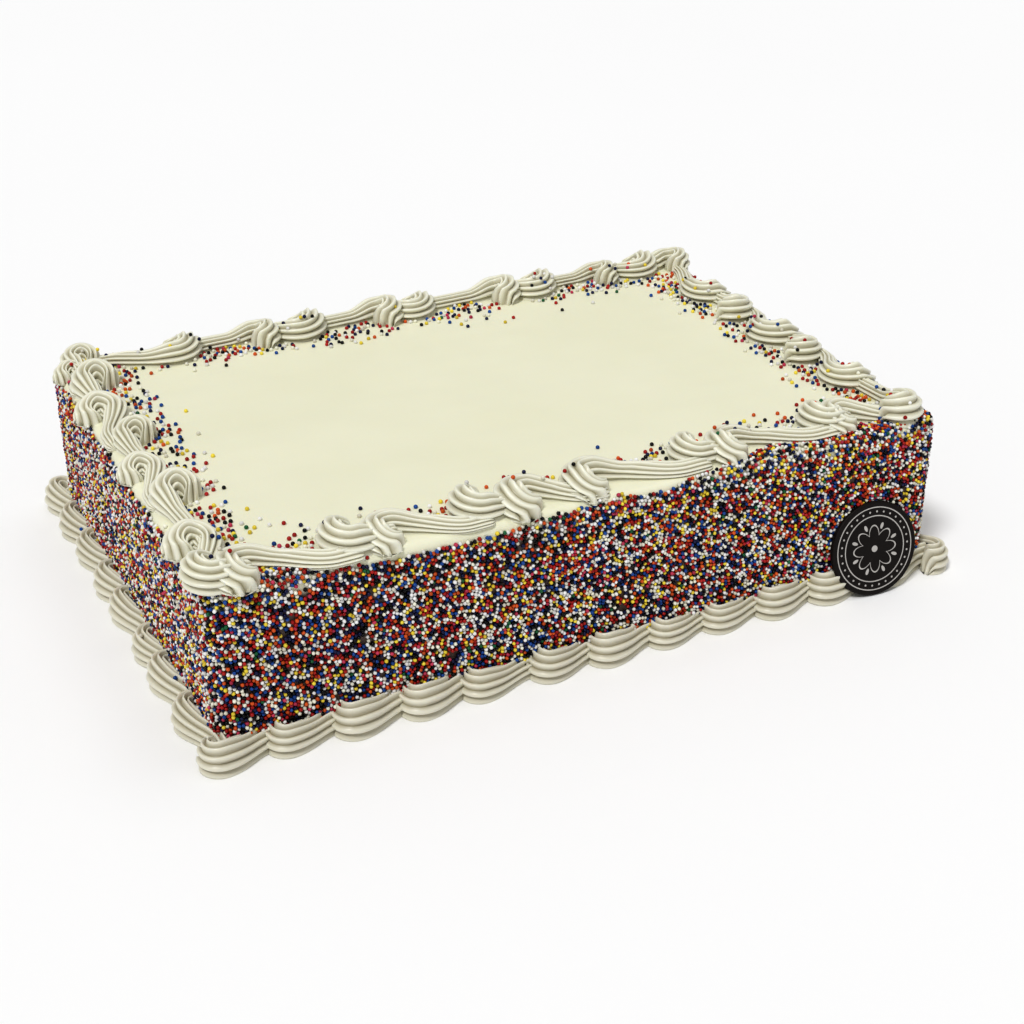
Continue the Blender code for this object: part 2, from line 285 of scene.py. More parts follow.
# Chocolate disc
DISC_RADIUS = 0.020
DISC_THICKNESS = 0.0024
DISC_SIDES = 128
DISC_RIM = 0.0006
DISC_RIM_SEGMENTS = 4
DISC_FRAME = 0.0004
DISC_X = 0.122
DISC_FOOT_Y = -0.1200
DISC_LEAN = math.radians(12.7)
DISC_YAW = math.radians(-4.0)

# Its colours and those of its print, each from dark to light, its sheen and the heights of its relief
CHOCOLATE_COLOURS = ((0.004, 0.0026, 0.0022), (0.009, 0.006, 0.005))
PRINT_COLOURS = ((0.42, 0.40, 0.38), (0.60, 0.58, 0.55))
CHOCOLATE_ROUGHNESS = 0.48
CHOCOLATE_UNEVENNESS = 0.15
CLOUD_HEIGHT = 0.00006
PRINT_HEIGHT = 0.00008

# Its print, in shares of its radius. BACK_SLACK keeps the print off the rim and the back
RING_REACHES = (0.88, 0.70)
RING_HALF = 0.012
DOTS = 30
DOT_REACH = 0.79
DOT_RADIUS = 0.022
PETALS = 8
FLOWER_REACH = 0.30
PETAL_REACH = 0.20
FLOWER_HALF = 0.016
LEAF_REACH = 0.50
LEAF_RADIUS = 0.07
HUB_RADIUS = 0.07
BACK_SLACK = 0.01

chance = np.random.default_rng(20)
draw = random.Random(33)


class Wire:
    """A shader socket that takes part in arithmetic: each operator adds a Math node."""

    def __init__(self, socket):
        self.socket = socket

    def node(self, kind, settings=(), sockets=(), output=0):
        """A new node of a kind, with its settings first and then its sockets' values or links."""
        tree = self.socket.id_data
        made = tree.nodes.new("ShaderNode" + kind)
        for name, value in dict(settings).items():
            setattr(made, name, value)
        for name, value in dict(sockets).items():
            if isinstance(value, Wire):
                tree.links.new(value.socket, made.inputs[name])
            else:
                made.inputs[name].default_value = value
        return Wire(made.outputs[output])

    def math(self, operation, *others):
        return self.node("Math", {"operation": operation}, enumerate((self, *others)))

    def feed(self, socket):
        self.socket.id_data.links.new(self.socket, socket)

    def __add__(self, other):
        return self.math("ADD", other)

    __radd__ = __add__

    def __sub__(self, other):
        return self.math("SUBTRACT", other)

    def __mul__(self, other):
        return self.math("MULTIPLY", other)

    __rmul__ = __mul__

    def __truediv__(self, other):
        return self.math("DIVIDE", other)

    def __lt__(self, other):
        return self.math("LESS_THAN", other)


def new_material(name, constants):
    """A material with its shader's constants set: returns it, its shader and a Wire to start from."""
    material = bpy.data.materials.new(name)
    material.use_nodes = True
    shader = material.node_tree.nodes["Principled BSDF"]
    for socket, value in constants.items():
        shader.inputs[socket].default_value = value
    place = material.node_tree.nodes.new("ShaderNodeTexCoord")
    return material, shader, Wire(place.outputs["Object"])


def noise(place, scale, detail):
    """Smooth noise over a place, about 0.5."""
    return place.node("TexNoise", {}, {"Vector": place, "Scale": scale, "Detail": detail})


def part_of(vector, axis):
    """One of a vector's three parts."""
    return vector.node("SeparateXYZ", {}, {"Vector": vector}, axis)


def mixed(place, factor, first, second):
    """Colour between two colours, each a Wire or a plain colour."""
    ends = [end if isinstance(end, Wire) else (*end, 1.0) for end in (first, second)]
    return place.node("Mix", {"data_type": "RGBA"}, {0: factor, 6: ends[0], 7: ends[1]}, 2)


def buttercream(name, roughness, relief):
    """Icing with an uneven sheen and a fine grain, all but its colour.

    relief makes the height of what else shows on it, from the Wire to start from.
    """
    material, shader, place = new_material(name, ICING_SHADER)
    rub = noise(place, scale=60.0, detail=4.0) - 0.5
    (roughness + UNEVENNESS * rub).feed(shader.inputs["Roughness"])
    height = noise(place, scale=900.0, detail=3.0) * GRAIN_HEIGHT + relief(place)
    bump = place.node("Bump", {}, {"Height": height, "Strength": 1.0, "Distance": 1.0})
    bump.feed(shader.inputs["Normal"])
    return material, shader, place


def streaks(place):
    """Height of the long streaks that a spreading knife leaves."""
    drawn = place.node("Mapping", {}, {"Vector": place, "Scale": STREAK_SCALES,
                                       "Rotation": STREAK_TURN})
    return noise(drawn, scale=1.0, detail=5.0) * STREAK_HEIGHT


def spread_icing():
    """Icing spread smooth, which drifts in colour, with painted shade on it between the sprinkles."""
    material, shader, place = buttercream("spread_icing", SPREAD_ROUGHNESS, streaks)
    drift = (noise(place, scale=14.0, detail=3.0) - DRIFT_FROM) / DRIFT_SPAN
    icing_colour = mixed(place, drift, *SPREAD_COLOURS)
    edge = noise(place, scale=40.0, detail=2.0) - 0.5
    # Painted shade between the sprinkles, from the base up the walls to an uneven height
    unshaded = (part_of(place, 2) - GAP_SHADE_TOP + GAP_SHADE_FADE * edge) / GAP_SHADE_FADE
    mixed(place, unshaded, GAP_SHADE, icing_colour).feed(shader.inputs["Base Color"])
    return material


def piped_icing(name, colours):
    """Icing from a piping bag, pale on the crests of its ridges, with painted shade in the grooves
    between them.
    """
    material, shader, place = buttercream(name, PIPED_ROUGHNESS, lambda place: 0.0)
    drift = noise(place, scale=14.0, detail=3.0)
    crest = place.node("Attribute", {"attribute_name": "crest"}, {}, 2)
    # Painted shade: the colour goes deep where the crest attribute is low, in the grooves; the noise
    # is the icing's own uneven tone
    tone_and_groove_shade = DRIFT_SHARE * drift + CREST_SHARE * crest.math("POWER", CREST_EASE) - SHADE
    mixed(place, tone_and_groove_shade, *colours).feed(shader.inputs["Base Color"])
    return material


def sugar(name, colour):
    """Hard sugar: each ball's own tint, and a faint mottle."""
    material, shader, place = new_material(name, {"Specular IOR Level": 0.17})
    tint = place.node("Attribute", {"attribute_name": "tint"}, {}, 2)
    mottle = noise(place, scale=1500.0, detail=2.0)
    dark = [channel * DARKEST for channel in colour]
    light = [min(1.0, channel * LIGHTEST + LIFT) for channel in colour]
    amount = tint * OWN_TINT + mottle * (1 - OWN_TINT)
    mixed(place, amount, dark, light).feed(shader.inputs["Base Color"])
    (SUGAR_ROUGHNESS + SUGAR_UNEVENNESS * mottle).feed(shader.inputs["Roughness"])
    return material


def disc_print(place):
    """1 on the print and 0 off it: plain rings, a ring of dots and a rosette with leaves."""
    flat = place.node("Attribute", {"attribute_name": "disc_place"}, {}, 1)
    across, upward, back = (part_of(flat, axis) for axis in range(3))
    reach = (across * across + upward * upward).math("SQRT")
    angle = upward.math("ARCTAN2", across)

    def line(distance, half_width):
        return distance.math("ABSOLUTE") < half_width

    def blot(along, aside, radius):
        return along * along + aside * aside < radius ** 2

    def from_spoke(turned, count):
        """Angle from the nearest of a number of spokes."""
        half_step = math.pi / count
        return turned.math("WRAP", half_step, -half_step)

    petals = (from_spoke(angle, PETALS) * (PETALS / 2)).math("COSINE")
    leaves = from_spoke(angle + math.pi / PETALS, PETALS)
    marks = [line(reach - ring, RING_HALF) for ring in RING_REACHES]
    marks += [
        blot(reach - DOT_REACH, from_spoke(angle, DOTS) * DOT_REACH, DOT_RADIUS),
        line(reach - (PETAL_REACH * petals + FLOWER_REACH), FLOWER_HALF),
        blot(reach - LEAF_REACH, leaves, LEAF_RADIUS),
        reach < HUB_RADIUS]
    printed = marks[0]
    for mark in marks[1:]:
        printed = printed.math("MAXIMUM", mark)
    return printed * (back < BACK_SLACK)


def printed_chocolate():
    """Dark chocolate with a pale print, which stands out a little."""
    material, shader, place = new_material("dark_chocolate_print", {"Specular IOR Level": 0.20})
    mark = disc_print(place)
    cloud = noise(place, scale=220.0, detail=4.0)
    dark = mixed(place, cloud, *CHOCOLATE_COLOURS)
    pale = mixed(place, cloud, *PRINT_COLOURS)
    mixed(place, mark, dark, pale).feed(shader.inputs["Base Color"])
    (CHOCOLATE_ROUGHNESS + CHOCOLATE_UNEVENNESS * cloud).feed(shader.inputs["Roughness"])
    relief = cloud * CLOUD_HEIGHT + mark * PRINT_HEIGHT
    place.node("Bump", {}, {"Height": relief, "Distance": 1.0}).feed(shader.inputs["Normal"])
    return material


def floor_paint():
    """White, very slightly cloudy."""
    material, shader, place = new_material("floor_paint", {"Roughness": 0.9})
    cloud = noise(place, scale=2.0, detail=2.0)
    mixed(place, cloud, *FLOOR_COLOURS).feed(shader.inputs["Base Color"])
    return material


def finished(bm, name, material, node):
    """Make a piece of a bmesh."""
    mesh = bpy.data.meshes.new(name)
    bm.to_mesh(mesh)
    bm.free()
    return placed(mesh, name, material, node)


def placed(mesh, name, material, node):
    """Make a piece of a mesh: smooth shaded, riding on the cake and standing for a node."""
    mesh.polygons.foreach_set("use_smooth", [True] * len(mesh.polygons))
    mesh.materials.append(material)
    piece = bpy.data.objects.new(name, mesh)
    bpy.context.scene.collection.objects.link(piece)
    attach(piece, "root")
    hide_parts(node)
    return piece


def eased(share):
    share = np.clip(share, 0.0, 1.0)
    return share * share * (3 - 2 * share)


def wobble(points, length, seed):
    """A cheap smooth noise, about from -1 to 1, at each point, from a few crossed waves."""
    own = np.random.default_rng(seed)
    total = np.zeros(len(points))
    for _ in range(CROSSED_WAVES):
        way = own.normal(size=3)
        way *= 2 * math.pi / (length * np.linalg.norm(way)) * own.uniform(*WAVE_RANGE)
        total += np.sin(points @ way + own.uniform(0, 2 * math.pi))
    return total / WAVE_PEAK


def waves(points, rows):
    return sum(weight * wobble(points, length, seed) for weight, length, seed in rows)


def block():
    """The iced block, with the slight waves of a spread surface."""
    bm = bmesh.new()
    bmesh.ops.create_cube(bm, size=1.0)
    bmesh.ops.scale(bm, vec=(LENGTH, WIDTH, HEIGHT), verts=bm.verts)
    bmesh.ops.translate(bm, vec=(0, 0, HEIGHT / 2), verts=bm.verts)
    upright = [edge for edge in bm.edges if edge.calc_length() < WIDTH / 2]
    bmesh.ops.bevel(bm, geom=upright, offset=CORNER_ROUND, segments=CORNER_SEGMENTS, profile=0.5,
                    affect="EDGES", material=-1)
    top = max(bm.faces, key=lambda face: face.calc_center_median().z)
    bmesh.ops.bevel(bm, geom=list(top.edges), offset=TOP_ROUND, segments=TOP_SEGMENTS, profile=0.5,
                    affect="EDGES", material=-1)
    for axis, half in enumerate((LENGTH / 2, WIDTH / 2)):
        for place in np.arange(-half + FIRST_CUT, half - LAST_CUT, CUT_STEP):
            point = [0.0, 0.0, 0.0]
            normal = [0.0, 0.0, 0.0]
            point[axis] = place
            normal[axis] = 1.0
            bmesh.ops.bisect_plane(bm, geom=bm.verts[:] + bm.edges[:] + bm.faces[:], dist=WELD,
                                   plane_co=point, plane_no=normal)
    places = np.array([vert.co for vert in bm.verts])
    for vert, shift in zip(bm.verts, waves(places, TOP_WAVES)):
        if vert.co.z > HEIGHT - LEVEL:
            vert.co.z += shift
    return bm


def rope_section():
    """Angle round the rope, reach and crest of each point: rounded ridges above, plain below."""
    share = np.linspace(0, 1, RIDGE_GAPS * POINTS_A_GAP + 1)
    around = RIDGES_FROM + (RIDGES_TO - RIDGES_FROM) * share
    crest = np.abs(np.cos(math.pi * share * RIDGE_GAPS)) ** CREST_POWER
    reach = 1 - FLUTE * (1 - crest)
    below = np.array(UNDERSIDE)
    around = np.concatenate((around, np.radians(below[:, 0]), (RIDGES_FROM + 2 * math.pi,)))
    reach = np.concatenate((reach, below[:, 1], (1.0,)))
    crest = np.concatenate((crest, np.ones(len(below) + 1)))
    return around, reach, crest


# A slice through a shell's rope: middle, direction to its left, share of the full size, room on
# the inner side and share of the full height
Slice = namedtuple("Slice", "middle left fill inner rise")


def curl_slices(shell, around, crest):
    """Slices of a shell's curl, whose ridges start as a fan of claws round the eye.

    The inner ridges start first and the outer ones later, so each point has a slice of its own.
    """
    first = math.radians(shell.start)
    sweep = CURL_END - first
    width = np.where(np.cos(around) > 0, INNER_ROOM * shell.curl, shell.half_width)
    from_eye = np.maximum(EYE_RADIUS, shell.curl - np.cos(around) * width)
    begins = (math.radians(shell.splay) * (1 - np.cos(around)) / 2
              + CLAW_LENGTH * (1 - crest) / from_eye)
    slices = []
    for step in range(CURL_STEPS + 1):
        turned = np.maximum(sweep * (step / CURL_STEPS), begins)
        share = turned / sweep
        risen = (sweep * step / CURL_STEPS - begins) * from_eye / RISE_LENGTH
        rise = np.sqrt(1 - (1 - np.clip(risen, 0.0, 1.0)) ** 2)
        radius = shell.curl * (EYE_SHARE + (1 - EYE_SHARE) * eased(share / EYE_GROWTH))
        left = -np.column_stack((np.cos(first + turned), np.sin(first + turned)))
        fill = shell.nose + (1 - shell.nose) * eased(share / NOSE_GROWTH)
        fill *= 1 + (shell.waist - 1) * eased((share - WAIST_FROM) / (1 - WAIST_FROM))
        slices.append(Slice(-radius[:, None] * left, left, fill, INNER_ROOM * radius, rise))
    return slices


def tail_slices(shell, length, side):
    """Slices of a shell's tail, which swings over to the next shell's inner side and thins."""
    swing = shell.curl - shell.inset * side + TAIL_SWING
    cramped = INNER_ROOM * shell.curl
    last = np.array((0.0, -shell.curl))
    slices = []
    for step in range(1, TAIL_STEPS + 1):
        share = step / TAIL_STEPS
        spot = np.array((length * share, -shell.curl + swing * eased(share / SWING_SHARE)))
        ahead = spot - last
        last = spot
        ahead /= np.linalg.norm(ahead)
        left = np.array((-ahead[1], ahead[0]))
        fill = shell.waist + (shell.tail - shell.waist) * eased(share * length / shell.thinning)
        closed = max(0.0, (share - (1 - CLOSING)) / CLOSING)
        fill *= math.sqrt(max(0.0, 1 - closed * closed))
        inner = cramped + (shell.half_width - cramped) * eased(share / WIDENING)
        slices.append(Slice(spot, left, fill, inner, 1.0))
    return slices


def shell_points(shell, length, side, seed, lowest):
    """Grid of points of one shell, its eye at the origin and its tail along +X, and their crests."""
    around, reach, crest = rope_section()
    own = np.random.default_rng(seed)
    lean = own.uniform(-MOST_LEAN, MOST_LEAN)
    beat = own.uniform(0, SWELL_SHIFT)
    rows = []
    for number, cut in enumerate(curl_slices(shell, around, crest) + tail_slices(shell, length, side)):
        path = number / (CURL_STEPS + TAIL_STEPS)
        here = around + lean * path * np.sin(around)
        swell = 1 + SWELL * math.sin(SWELL_TURNS * path + beat)
        across = np.cos(here) * reach * cut.fill * swell
        across *= np.where(across > 0, np.minimum(cut.inner, shell.half_width), shell.half_width)
        plan = cut.middle + cut.left * across[:, None]
        height = cut.fill * (shell.middle + shell.half_height * reach * swell * np.sin(here))
        lower = 1 - shell.tilt * np.clip(plan[:, 1] / (shell.curl + shell.half_width), 0, 1)
        height = ROOTED + cut.rise * lower * (height - ROOTED)
        if lowest is not None:
            height = np.maximum(height, lowest)
        rows.append(np.column_stack((plan[:, 0], plan[:, 1] * side, height)))
    root = rows[0].mean(axis=0)
    root[2] = ROOT_DEPTH if lowest is None else lowest
    rows.insert(0, np.tile(root, (len(around), 1)))
    return np.array(rows), crest


def add_shell(bm, points, crest, place):
    """Add a closed tube through a grid of points, rows along it and columns round it."""
    rows, columns = points.shape[:2]
    layer = bm.verts.layers.float.get("crest") or bm.verts.layers.float.new("crest")
    made = bmesh.ops.create_grid(bm, x_segments=columns - 1, y_segments=rows - 1, size=1.0)["verts"]
    for index, (vert, point) in enumerate(zip(made, points.reshape(-1, 3))):
        vert.co = place @ Vector(point)
        vert[layer] = crest[index % columns]
    faces = list({face for vert in made for face in vert.link_faces})
    bmesh.ops.remove_doubles(bm, verts=made, dist=WELD)
    faces = [face for face in faces if face.is_valid]
    bmesh.ops.recalc_face_normals(bm, faces=faces)


def top_spots():
    """Spots of the top border: a fan in each corner, then hooks and fans along each side."""
    spots = []
    for number, row in enumerate(SHELL_ROWS):
        start = Vector(TOP_CORNERS[number])
        ahead = (Vector(TOP_CORNERS[(number + 1) % len(SIDES)]) - start).normalized()
        forms = {1: TOP_FAN, -1: LEFT_HOOK if SIDES[number] == "left" else TOP_HOOK}
        spots.append(Spot(start, 1, number, TOP_FAN, 1.0))
        spots += [Spot(start + ahead * distance, side, number, forms[side], size[0] if size else 1.0)
                  for distance, side, *size in row]
    return spots


def foot_spots():
    """Spots of the bottom border: one in each corner and unevenly spaced ones between them."""
    half_x = LENGTH / 2 + FOOT_OFFSET
    half_y = WIDTH / 2 + FOOT_OFFSET
    corners = [Vector(corner) for corner in ((-half_x, -half_y), (half_x, -half_y),
                                             (half_x, half_y), (-half_x, half_y))]
    spots = []
    for number, start in enumerate(corners):
        side = corners[(number + 1) % len(SIDES)] - start
        count = round(side.length / FOOT_PITCH)
        spots.append(Spot(start, 1, number, FOOT_SHELL, 1.0))
        for step in range(1, count):
            share = (step + draw.uniform(-FOOT_NUDGE, FOOT_NUDGE)) / count
            spots.append(Spot(start + side * share, 1, number, FOOT_SHELL, 1.0))
    return spots


def resized(shell, size):
    """A shell at a size, give or take a little."""
    factor = size * draw.uniform(1 - SIZE_SPREAD, 1 + SIZE_SPREAD)
    return shell._replace(curl=shell.curl * factor, half_width=shell.half_width * factor,
                          half_height=shell.half_height * factor, middle=shell.middle * factor)


def border(name, spots, height, node, material, lowest=None):
    """The four sides of a piped border, one piece a side."""
    sides = [bmesh.new() for _ in SIDES]
    for index, spot in enumerate(spots):
        onward = spots[(index + 1) % len(spots)].place - spot.place
        inward = Vector((-onward.y, onward.x)).normalized()
        shell = resized(spot.shell, spot.size)
        eye = spot.place + inward * shell.inset
        points, crest = shell_points(shell, onward.length + OVERLAP, spot.curl_side, index, lowest)
        turn = Matrix.Rotation(math.atan2(onward.y, onward.x), 4, "Z")
        add_shell(sides[spot.side_number], points, crest, Matrix.Translation((*eye, height)) @ turn)
    return [finished(bm, f"{name}_{side}", material, node) for bm, side in zip(sides, SIDES)]


def skin(along, up):
    """Points and outward normals on the block's skin, as arrays.

    along runs round the walls from the front wall's left end. up runs up the wall, over the
    rounded top edge and in across the top.
    """
    flats = (LENGTH - 2 * CORNER_ROUND, WIDTH - 2 * CORNER_ROUND) * 2
    turn = math.pi / 2 * CORNER_ROUND
    starts = np.array([[-LENGTH / 2 + CORNER_ROUND, -WIDTH / 2],
                       [LENGTH / 2, -WIDTH / 2 + CORNER_ROUND],
                       [LENGTH / 2 - CORNER_ROUND, WIDTH / 2],
                       [-LENGTH / 2, WIDTH / 2 - CORNER_ROUND]])
    plan = np.zeros((len(along), 2))
    out = np.zeros((len(along), 2))
    begin = 0.0
    for number, flat in enumerate(flats):
        face = math.radians(-90 + 90 * number)
        normal = np.array((math.cos(face), math.sin(face)))
        ahead = np.array((-normal[1], normal[0]))
        there = along - begin
        on_flat = (there >= 0) & (there < flat)
        plan[on_flat] = starts[number] + there[on_flat, None] * ahead
        out[on_flat] = normal
        on_turn = (there >= flat) & (there < flat + turn)
        angle = face + (there[on_turn] - flat) / CORNER_ROUND
        bend = np.column_stack((np.cos(angle), np.sin(angle)))
        middle = starts[number] + flat * ahead - CORNER_ROUND * normal
        plan[on_turn] = middle + CORNER_ROUND * bend
        out[on_turn] = bend
        begin += flat + turn
    wall = HEIGHT - TOP_ROUND
    lean = np.clip((up - wall) / TOP_ROUND, 0, math.pi / 2)
    inset = TOP_ROUND * (1 - np.cos(lean)) + np.maximum(0, up - wall - TOP_ROUND * math.pi / 2)
    height = np.minimum(up, wall) + TOP_ROUND * np.sin(lean)
    points = np.column_stack((plan - out * inset[:, None], height))
    normals = np.column_stack((out * np.cos(lean)[:, None], np.sin(lean)))
    return points, normals


def cell_table(index, rows, columns):
    """Numbers of the points in each cell of a grid: a few at most, and -1 where there are fewer.

    Each column has an empty cell at either end, so the cells above and below are always there.
    """
    flat = index[:, 0] * (rows + 2) + index[:, 1] + 1
    order = np.argsort(flat, kind="stable")
    ranked = flat[order]
    rank = np.arange(len(index)) - np.searchsorted(ranked, ranked)
    table = np.full((columns * (rows + 2), BALLS_A_CELL), -1)
    kept = rank < BALLS_A_CELL
    table[ranked[kept], rank[kept]] = order[kept]
    return table


def pushed_apart(width, height, spacing, packing, rounds):
    """Random points pushed apart to a spacing, on a strip whose ends join."""
    count = int(packing * width * height / (math.pi * spacing * spacing / 4))
    points = chance.random((count, 2)) * (width, height)
    columns = int(width / spacing)
    rows = int(height / spacing) + 1
    cell = np.array((width / columns, height / rows))
    numbers = np.arange(count)
    steps = [(step_x, step_y) for step_x in (-1, 0, 1) for step_y in (-1, 0, 1)]
    for _ in range(rounds):
        index = np.floor(points / cell).astype(int)
        index[:, 0] %= columns
        index[:, 1] = np.clip(index[:, 1], 0, rows - 1)
        table = cell_table(index, rows, columns)
        push = np.zeros_like(points)
        for step_x, step_y in steps:
            near_cell = ((index[:, 0] + step_x) % columns) * (rows + 2) + index[:, 1] + 1 + step_y
            for other in table[near_cell].T:
                away = points - points[other]
                away[:, 0] -= width * np.round(away[:, 0] / width)
                gap = np.hypot(away[:, 0], away[:, 1]) + TINY
                close = (other >= 0) & (other != numbers) & (gap < spacing)
                push[close] += away[close] * (0.5 * (spacing - gap) / gap)[close, None]
        points += PUSH * push
        points[:, 0] %= width
        points[:, 1] = np.clip(points[:, 1], 0, height - HAIR)
    return points


def template(whole):
    """Points and triangles of one ball, or of the upper part of one that sits in the icing."""
    bm = bmesh.new()
    if whole:
        bmesh.ops.create_icosphere(bm, subdivisions=2, radius=1.0)
    else:
        bmesh.ops.create_uvsphere(bm, u_segments=SET_SIDES, v_segments=SET_RINGS, radius=1.0)
        low = [vert for vert in bm.verts if vert.co.z < SET_CUT]
        bmesh.ops.delete(bm, geom=low, context="VERTS")
        bmesh.ops.holes_fill(bm, edges=bm.edges)
        for vert in bm.verts:
            if vert.co.z < SET_RIM:
                vert.co.z = SET_BASE
    bmesh.ops.triangulate(bm, faces=bm.faces)
    bm.verts.index_update()
    points = np.array([vert.co for vert in bm.verts])
    triangles = np.array([[vert.index for vert in face.verts] for face in bm.faces])
    bm.free()
    return points, triangles


def ball_arrays(shape, centres, normals, sizes):
    """Points and triangles of a ball at each centre, turned at random about its normal."""
    points, triangles = shape
    count = len(centres)
    helper = np.where(np.abs(normals[:, 2:3]) > UPRIGHT, (1.0, 0.0, 0.0), (0.0, 0.0, 1.0))
    first = np.cross(helper, normals)
    first /= np.linalg.norm(first, axis=1)[:, None]
    second = np.cross(normals, first)
    spin = chance.uniform(0, 2 * math.pi, count)[:, None]
    turned = first * np.cos(spin) + second * np.sin(spin)
    axes = np.stack((turned, np.cross(normals, turned), normals), axis=2)
    moved = np.einsum("nij,vj->nvi", axes, points) * sizes[:, None, None] + centres[:, None, :]
    corners = triangles[None] + (np.arange(count) * len(points))[:, None, None]
    return moved.reshape(-1, 3), corners.reshape(-1, 3)


def covered(along, up):
    """Which skin places hold sprinkles: below an uneven upper limit and outside bare patches."""
    points, normals = skin(along, up)
    x, y = points[:, 0], points[:, 1]
    front = normals[:, 1] < -FACING
    front |= (normals[:, 2] > FACING) & (y < -WIDTH / 2 + FRONT_STRIP)
    depth, middle, width = DIP
    dip = depth * np.exp(-((x - middle) / width) ** 2)
    rise = sum(height * eased((x - start) / length) for height, start, length in RISES)
    limit = np.where(front, FRONT_LIMIT - dip + rise, LIMIT)
    thin = waves(points, THIN_WAVES)
    return (up < limit + waves(points, LIMIT_WAVES)) & (thin < THINNEST)


def drop(tree, x, y):
    """Highest surface below a plan point, with its normal."""
    hit, normal, _, _ = tree.ray_cast(Vector((x, y, DROP_FROM)), Vector((0, 0, -1)))
    if hit is None:
        return None
    return hit, normal if normal.z > 0 else -normal


def loose_odds(x, y):
    """How likely each place on the top is to have a ball: thick by the border, thinning inward."""
    front_line = FRONT_LINE + FRONT_SLANT * (x - LEFT_LINE) / FRONT_SPAN
    depths = {"front": y - front_line, "right": RIGHT_LINE - x,
              "back": BACK_LINE - y, "left": x - LEFT_LINE}
    odds = np.zeros(len(x))
    for side, (start, fade, weight) in LOOSE_REACH.items():
        near = np.exp(-np.maximum(0, depths[side] - start) / fade) * weight
        near[depths[side] < UNDER_SHELLS] = UNDER_SHELLS_ODDS
        odds = np.maximum(odds, near)
    clump = waves(np.column_stack((x, y, np.zeros(len(x)))), CLUMP_WAVES)
    return odds * np.clip(CLUMP_BASE + CLUMP_GAIN * clump, 0.0, CLUMP_MOST)


def loose_balls(tree):
    """Centres and normals of the balls that lie on the top, no two of them crossing."""
    centres = []
    normals = []
    taken = {}
    x_all = chance.uniform(-LENGTH / 2, LENGTH / 2, LOOSE_TRIES)
    y_all = chance.uniform(-WIDTH / 2, WIDTH / 2, LOOSE_TRIES)
    luck = chance.random(LOOSE_TRIES)
    chosen = luck < loose_odds(x_all, y_all) * LOOSE_ODDS
    for x, y in zip(x_all[chosen], y_all[chosen]):
        column, row = int(x // LOOSE_SPACING), int(y // LOOSE_SPACING)
        around = [(column + a, row + b) for a in (-1, 0, 1) for b in (-1, 0, 1)]
        if any(math.hypot(x - other[0], y - other[1]) < LOOSE_SPACING
               for cell in around for other in taken.get(cell, ())):
            continue
        found = drop(tree, x, y)
        if found is None or found[0].z < HEIGHT - TOP_SLACK:
            continue
        if found[0].z > HEIGHT + ON_SHELL and draw.random() > ON_SHELL_SHARE:
            continue
        taken.setdefault((column, row), []).append((x, y))
        hit, normal = found
        centres.append(hit + normal * BALL * RESTING)
        normals.append(normal)
    return np.array(centres), np.array(normals)


def stray_balls(tree):
    """Centres and normals of the few balls that fell on the bottom border, away from the disc."""
    centres = []
    normals = []
    for _ in range(FOOT_TRIES):
        x = draw.uniform(-LENGTH / 2 - FOOT_REACH, LENGTH / 2 + FOOT_REACH)
        y = draw.uniform(-WIDTH / 2 - FOOT_REACH, WIDTH / 2 + FOOT_REACH)
        above_cake = abs(x) < LENGTH / 2 + WALL_ROOM and abs(y) < WIDTH / 2 + WALL_ROOM
        beside_disc = abs(x - DISC_X) < DISC_RADIUS + DISC_ROOM and y < 0
        found = None if above_cake or beside_disc else drop(tree, x, y)
        if found is not None and found[1].z > STEEPEST:
            hit, normal = found
            centres.append(hit + normal * BALL * RESTING)
            normals.append(normal)
    return np.array(centres), np.array(normals)


def set_balls():
    """Centres and normals of the balls set in the walls."""
    around_walls = 2 * (LENGTH + WIDTH) - 8 * CORNER_ROUND + 2 * math.pi * CORNER_ROUND
    spots = pushed_apart(around_walls, SKIN_HIGH - SKIN_LOW, BALL_SPACING, WALL_PACKING,
                         PACKING_ROUNDS)
    spots[:, 1] += SKIN_LOW
    spots = spots[covered(spots[:, 0], spots[:, 1])]
    points, normals = skin(spots[:, 0], spots[:, 1])
    out = chance.uniform(OUT_FROM, OUT_TO, len(points)) * BALL
    return points + normals * out[:, None], normals


def sprinkles(tree, foot_tree):
    """One piece for each colour, of the balls set in the walls and those lying loose."""
    set_places = set_balls()
    loose_places = [np.concatenate(pair) for pair in zip(loose_balls(tree), stray_balls(foot_tree))]
    shares = np.array([share for _, share in KINDS.values()])
    shares = shares / shares.sum()
    batches = [(template(whole), *places, chance.choice(len(KINDS), len(places[0]), p=shares))
               for whole, places in ((False, set_places), (True, loose_places))]
    for number, (name, (colour, _)) in enumerate(KINDS.items()):
        verts = np.zeros((0, 3))
        corners = np.zeros((0, 3), dtype=int)
        tints = np.zeros(0)
        for shape, places, ways, kinds in batches:
            chosen = kinds == number
            sizes = BALL * chance.uniform(1 - BALL_SPREAD, 1 + BALL_SPREAD, chosen.sum())
            more_verts, more_corners = ball_arrays(shape, places[chosen], ways[chosen], sizes)
            corners = np.concatenate((corners, more_corners + len(verts)))
            verts = np.concatenate((verts, more_verts))
            more_tints = np.repeat(chance.random(chosen.sum()), len(shape[0]))
            tints = np.concatenate((tints, more_tints))
        mesh = bpy.data.meshes.new("sprinkles_" + name)
        mesh.from_pydata(verts, [], corners)
        tint = mesh.attributes.new("tint", "FLOAT", "POINT")
        tint.data.foreach_set("value", tints.astype(np.float32))
        placed(mesh, "sprinkles_" + name, sugar("sugar_" + name, colour), "cake")


